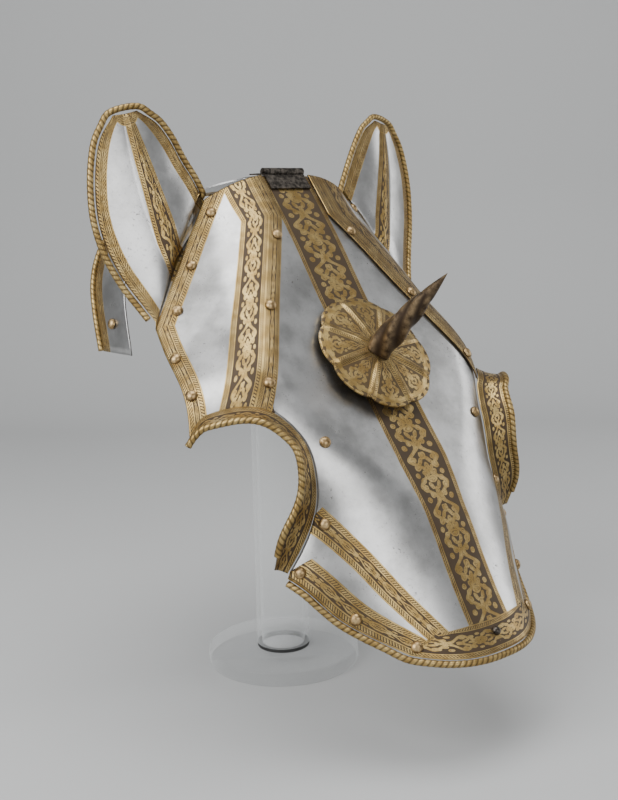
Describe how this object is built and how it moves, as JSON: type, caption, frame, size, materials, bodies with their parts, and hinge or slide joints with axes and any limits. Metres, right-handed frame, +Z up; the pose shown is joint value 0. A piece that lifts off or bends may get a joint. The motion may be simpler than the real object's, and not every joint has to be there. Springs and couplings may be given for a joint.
{
  "type": "horse head armour on a display stand",
  "caption": "Steel horse head armour with gilt trim, ear guards, flanged eye openings, a fluted brow spike on a scalloped rondel and a hinged poll plate, on a clear column stand.",
  "frame": {"origin": "middle of the stand's flat underside, below the column's axis", "axes": "+Z up along the column; the horse looks along -Y; its right side is at -X, and X=0 is the armour's middle plane"},
  "size_m": [0.3672, 0.3656, 0.5163],
  "materials": {
    "plate_steel": "satin",
    "gilt_trim": "satin",
    "rivet_brass": "satin",
    "spike_bronze": "satin",
    "dark_iron": "satin",
    "clear_stand": "polished",
    "black_seal": "matte"
  },
  "bodies": {
    "armour": {"face_plate": "plate_steel", "temple_plate_right": "plate_steel", "temple_plate_left": "plate_steel", "ear_guard_right": "plate_steel", "ear_guard_left": "plate_steel", "lower_roll": "gilt_trim", "rondel": "gilt_trim", "eye_flange_right": "gilt_trim", "eye_flange_left": "gilt_trim", "ear_roll_right": "gilt_trim", "ear_roll_left": "gilt_trim", "brow_spike": "spike_bronze", "rivet_band_upper_right": "rivet_brass", "rivet_band_upper_left": "rivet_brass", "rivet_band_middle_right": "rivet_brass", "rivet_band_middle_left": "rivet_brass", "rivet_band_lower_right": "rivet_brass", "rivet_band_lower_left": "rivet_brass", "rivet_brow_right": "rivet_brass", "rivet_brow_left": "rivet_brass", "rivet_cheek_band_right": "rivet_brass", "rivet_cheek_band_left": "rivet_brass", "rivet_cheek_corner_right": "rivet_brass", "rivet_cheek_corner_left": "rivet_brass", "rivet_cheek_middle_right": "rivet_brass", "rivet_cheek_middle_left": "rivet_brass", "rivet_nose_right": "rivet_brass", "rivet_nose_left": "rivet_brass", "rivet_ear_upper_right": "rivet_brass", "rivet_ear_upper_left": "rivet_brass", "rivet_ear_middle_right": "rivet_brass", "rivet_ear_middle_left": "rivet_brass", "rivet_ear_lower_right": "rivet_brass", "rivet_ear_lower_left": "rivet_brass", "rivet_rear_upper_right": "rivet_brass", "rivet_rear_upper_left": "rivet_brass", "rivet_rear_lower_right": "rivet_brass", "rivet_rear_lower_left": "rivet_brass", "nose_screw": "dark_iron", "hinge_leaf_face": "dark_iron", "hinge_pin": "dark_iron", "stand_base": "clear_stand", "stand_plug": "clear_stand", "stand_column": "clear_stand", "stand_head_rest": "clear_stand", "stand_seal": "black_seal"},
    "poll": {"poll_roll": "gilt_trim", "hinge_leaf_poll": "dark_iron", "poll_plate": "plate_steel", "rivet_poll_right": "rivet_brass", "rivet_poll_left": "rivet_brass"}
  },
  "joints": [
    {"name": "poll_hinge", "type": "hinge", "parent": "armour", "child": "poll", "pos_m": [0, -0.01605, 0.46048], "axis": [1, 0, 0], "range_deg": [0, 35]}
  ]
}
